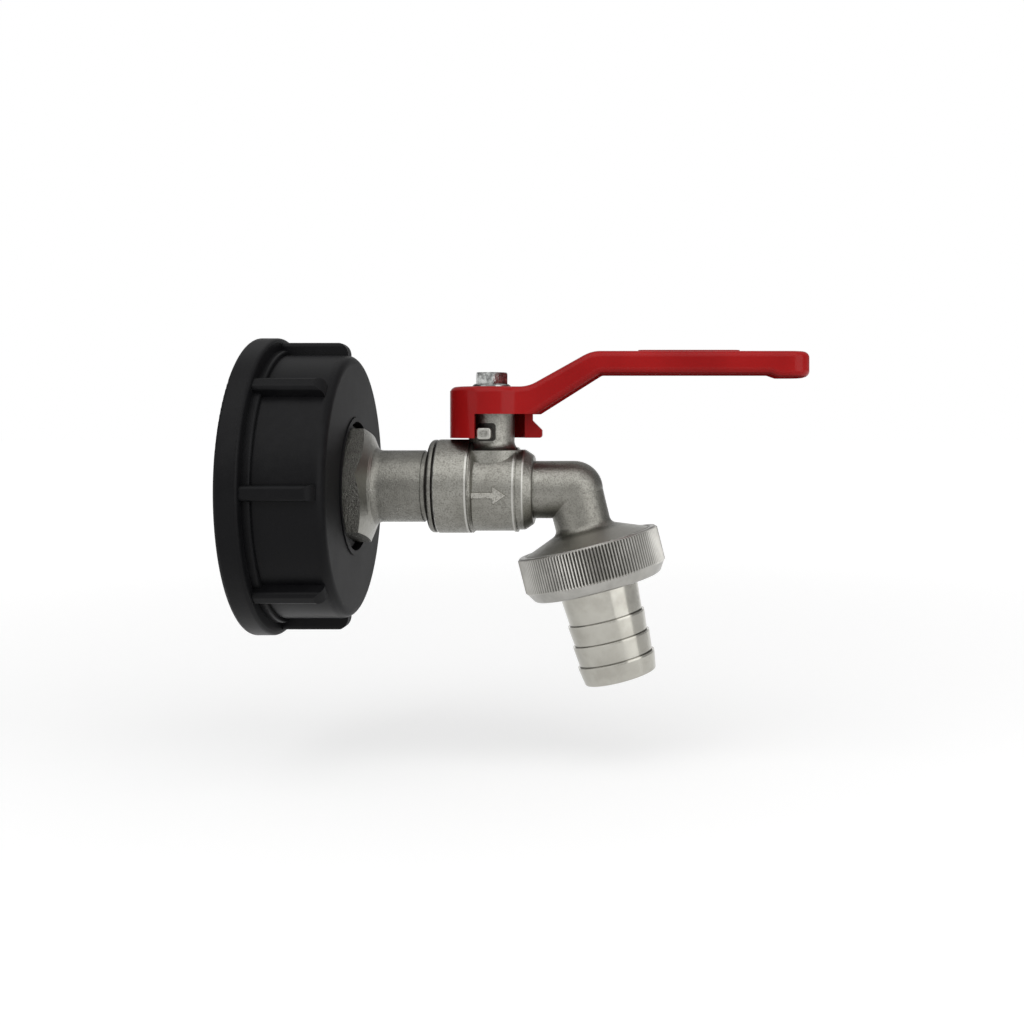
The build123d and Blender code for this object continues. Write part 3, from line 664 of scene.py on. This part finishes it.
def threadRidge(sizes):
    turn = np.linspace(0, sizes["turns"], sizes["steps"] + 1)[:, None]
    fade = smoothStep(np.minimum(turn, sizes["turns"] - turn) / sizes["fade"])
    foot = places["capThreadRadius"] + sizes["sink"]
    crest = foot - (sizes["height"] + sizes["sink"]) * fade - sizes["least"]
    radius = np.concatenate([foot + 0 * turn, crest, crest, foot + 0 * turn], axis=1)
    wide, narrow = sizes["footWidth"] / 2, sizes["crestWidth"] / 2
    forward = sizes["start"] + sizes["pitch"] * turn + np.array([[-wide, -narrow, narrow, wide]])
    angle = 2 * math.pi * turn
    points = np.stack([forward, radius * np.cos(angle), radius * np.sin(angle)], axis=-1) * mm
    sectionPiece("capThreadRidge", points, "capPlastic", "cap")


threadRidge(ridgeSizes)

# Cast flow arrow on the valve's middle part, swept round the part's own cylinder
arrowSizes = {
    "start": 57.9,
    "end": 67.3,
    "headLength": 3.8,
    "shaftHalf": 0.8,
    "headHalf": 2.5,
    "rise": 0.5,
    "sink": 0.3,
    "edge": 0.4,
    "margin": 0.6,
    "thickness": 0.9,
    "turnDown": 5.5,
    "rows": 170,
    "columns": 90,
}


# Height by a smooth step of the distance into the arrow, the larger of those into shaft and head
def flowArrow(sizes):
    neck = sizes["end"] - sizes["headLength"]
    wide = sizes["headHalf"] + sizes["margin"]
    first, last = sizes["start"] - sizes["margin"], sizes["end"] + sizes["margin"]
    forward = np.linspace(first, last, sizes["rows"])[:, None]
    across = np.linspace(-wide, wide, sizes["columns"])[None, :]
    inShaft = np.minimum(forward - sizes["start"], neck + sizes["edge"] - forward)
    inShaft = np.minimum(inShaft, sizes["shaftHalf"] - np.abs(across))
    slope = sizes["headHalf"] / sizes["headLength"]
    inHead = (slope * (sizes["end"] - forward) - np.abs(across)) / math.hypot(1.0, slope)
    inHead = np.minimum(inHead, forward - neck)
    raised = smoothStep(np.maximum(inShaft, inHead) / sizes["edge"] + 0.5)
    outer = places["middleRadius"] - sizes["sink"] + (sizes["sink"] + sizes["rise"]) * raised
    inner = places["middleRadius"] - sizes["thickness"]
    ends = np.full((sizes["rows"], 1), inner)
    radius = np.concatenate([ends, outer, ends], axis=1)
    around = np.concatenate([across[:, :1], across, across[:, -1:]], axis=1) / places["middleRadius"]
    around = around - math.radians(sizes["turnDown"])
    height = radius * np.sin(around) - places["elbowDrop"]
    points = np.stack([forward + 0 * radius, -radius * np.cos(around), height], axis=-1) * mm
    sectionPiece("flowArrow", points, "markNickel", "tap")


flowArrow(arrowSizes)
print("thread ridge and flow arrow made")

# Pale paper floor, a white backdrop and a room that is darker at the sides
stageSizes = {
    "floorAt": -0.075,
    "floorSize": 14.0,
    "middle": 0.07,
    "paper": (0.62, 0.62, 0.62, 1.0),
    "fibreShade": 0.97,
    "fibres": (900.0, 3.0, 0.6),
    "liftNear": 0.44,
    "liftFar": 0.73,
    "fadeFrom": 0.0,
    "fadeTo": 1.0,
    "worldLight": 0.45,
    "backdropFade": (0.86, 0.985),  # cosines over which a part of the room comes in
    "ceilingFade": (0.25, 0.85),
    "frontFade": (0.45, 0.95),
    "roomSides": 0.25,
    "roomFront": 0.5,
    "roomTop": 0.7,
}


# The paper fades into the white ground: what its own light lacks with distance is added, on rays
# that come from the camera or were mirrored or let through
def makeFloor(sizes):
    half = sizes["floorSize"] / 2
    corners = np.array([[-1, -1, 0], [1, -1, 0], [1, 1, 0], [-1, 1, 0]]) * half
    corners[:, 2] = sizes["floorAt"]
    mesh = bpy.data.meshes.new("floor")
    mesh.from_pydata(corners.tolist(), [], [(0, 1, 2, 3)])
    floor = bpy.data.objects.new("floor", mesh)
    bpy.context.scene.collection.objects.link(floor)
    material = bpy.data.materials.new("floorPaper")
    material.use_nodes = True
    paper = Recipe(material.node_tree, "Object")
    ahead, aside = paper.along(wayX, sizes["middle"]), paper.along(wayY)
    far = paper.between((ahead * ahead + aside * aside).root(), sizes["fadeFrom"], sizes["fadeTo"])
    lift = sizes["liftNear"] + far * (sizes["liftFar"] - sizes["liftNear"])
    seen = paper.ray("Is Camera Ray") + paper.ray("Is Glossy Ray") + paper.ray("Is Transmission Ray")
    shaded = tuple(sizes["fibreShade"] * part for part in sizes["paper"])
    tone = paper.blend(paper.noise(*sizes["fibres"]), sizes["paper"], shaded)
    plain = paper.add("ShaderNodeBsdfDiffuse", {}, {"Color": tone})
    glow = paper.add("ShaderNodeEmission", {}, {"Strength": seen * lift})
    paper.end("ShaderNodeOutputMaterial", paper.add("ShaderNodeAddShader", {}, {0: plain, 1: glow}))
    mesh.materials.append(material)


# The camera sees white, mirrored and transmitted rays see the white backdrop, a lit ceiling, a
# dimmer front and dark sides, and all others see an even light
def makeWorld(sizes):
    world = bpy.data.worlds.new("studio")
    bpy.context.scene.world = world
    world.use_nodes = True
    studio = Recipe(world.node_tree, "Generated")
    backdrop = studio.between(studio.along(wayY), *sizes["backdropFade"])
    ceiling = studio.between(studio.along(wayZ), *sizes["ceilingFade"]) * sizes["roomTop"]
    front = studio.between(studio.along((0.0, -1.0, 0.0)), *sizes["frontFade"]) * sizes["roomFront"]
    room = backdrop.most(ceiling).most(front).most(sizes["roomSides"])
    camera = studio.ray("Is Camera Ray")
    mirrored = studio.ray("Is Glossy Ray") + studio.ray("Is Transmission Ray")
    plain = mirrored * room + (1.0 - mirrored) * sizes["worldLight"]
    strength = camera + (1.0 - camera) * plain
    white = (1.0, 1.0, 1.0, 1.0)
    sky = studio.add("ShaderNodeBackground", {}, {"Color": white, "Strength": strength})
    studio.end("ShaderNodeOutputWorld", sky)


# Soft boxes, each turned to the middle of the tap
softBoxes = {
    "topBox": {"place": (0.05, -0.55, 0.7), "size": 1.1, "watts": 4.6},
    "leftBox": {"place": (-0.8, -0.6, 0.35), "size": 0.9, "watts": 2.2},
    "rightBox": {"place": (0.9, -0.55, 0.3), "size": 0.9, "watts": 4.6},
}
lightTarget = Vector((0.07, 0.0, 0.0))


def makeSoftBox(name, sizes):
    data = bpy.data.lights.new(name, "AREA")
    data.shape, data.size, data.energy = "SQUARE", sizes["size"], sizes["watts"]
    lamp = bpy.data.objects.new(name, data)
    bpy.context.scene.collection.objects.link(lamp)
    lamp.location = sizes["place"]
    lamp.rotation_euler = (lightTarget - lamp.location).to_track_quat("-Z", "Y").to_euler()


makeFloor(stageSizes)
makeWorld(stageSizes)
for boxName, boxSizes in softBoxes.items():
    makeSoftBox(boxName, boxSizes)
bpy.context.scene.view_settings.view_transform = "Standard"
print("stage and lights set")
